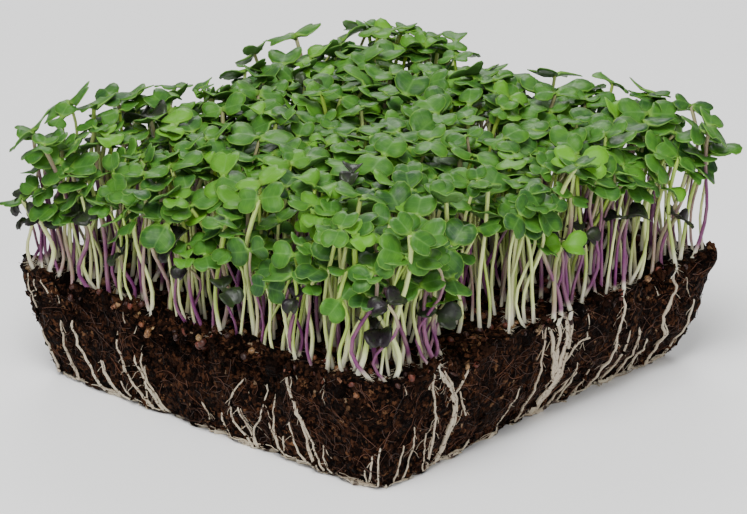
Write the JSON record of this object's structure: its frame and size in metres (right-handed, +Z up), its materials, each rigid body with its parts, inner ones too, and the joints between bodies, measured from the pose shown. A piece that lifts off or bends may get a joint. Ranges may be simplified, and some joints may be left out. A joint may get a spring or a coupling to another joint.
{
  "type": "slab of microgreens",
  "caption": "Square slab of moist soil out of its tray, bound by white roots, with a close canopy of young two-leaved sprouts on pale and purple stems.",
  "frame": {"origin": "centre of the flat underside that the slab rests on", "axes": "+Z up, from the root felt to the leaves; X and Y along the slab's sides"},
  "size_m": [0.1386, 0.1358, 0.0699],
  "materials": {
    "soil": "moist, crumbly, fibrous",
    "root": "matt felt",
    "sprout": "soft wax bloom on the leaves, smooth pale stem",
    "dark_sprout": "soft wax bloom"
  },
  "bodies": {
    "root": {"soil": "soil", "roots": "root", "tuft_01": "sprout", "tuft_02": "sprout", "tuft_03": "sprout", "tuft_04": "sprout", "tuft_05": "sprout", "tuft_06": "sprout", "tuft_07": "sprout", "tuft_08": "sprout", "tuft_09": "sprout", "tuft_10": "sprout", "tuft_11": "sprout", "tuft_12": "sprout", "tuft_13": "sprout", "tuft_14": "sprout", "tuft_15": "sprout", "tuft_16": "sprout", "tuft_17": "sprout", "tuft_18": "sprout", "tuft_19": "sprout", "tuft_20": "sprout", "tuft_21": "sprout", "tuft_22": "sprout", "tuft_23": "sprout", "tuft_24": "sprout", "tuft_25": "sprout", "tuft_26": "sprout", "tuft_27": "sprout", "tuft_28": "sprout", "tuft_29": "sprout", "tuft_30": "sprout", "tuft_31": "sprout", "tuft_32": "sprout", "tuft_33": "sprout", "tuft_34": "sprout", "tuft_35": "sprout", "tuft_36": "sprout", "tuft_37": "sprout", "tuft_38": "sprout", "tuft_39": "sprout", "tuft_40": "sprout", "tuft_41": "sprout", "tuft_42": "sprout", "tuft_43": "sprout", "tuft_44": "sprout", "tuft_45": "sprout", "tuft_46": "sprout", "tuft_47": "sprout", "tuft_48": "sprout", "tuft_49": "sprout", "dark_sprout_1": "dark_sprout", "dark_sprout_2": "dark_sprout", "dark_sprout_3": "dark_sprout", "dark_sprout_4": "dark_sprout", "dark_sprout_5": "dark_sprout", "dark_sprout_6": "dark_sprout"}
  },
  "joints": []
}
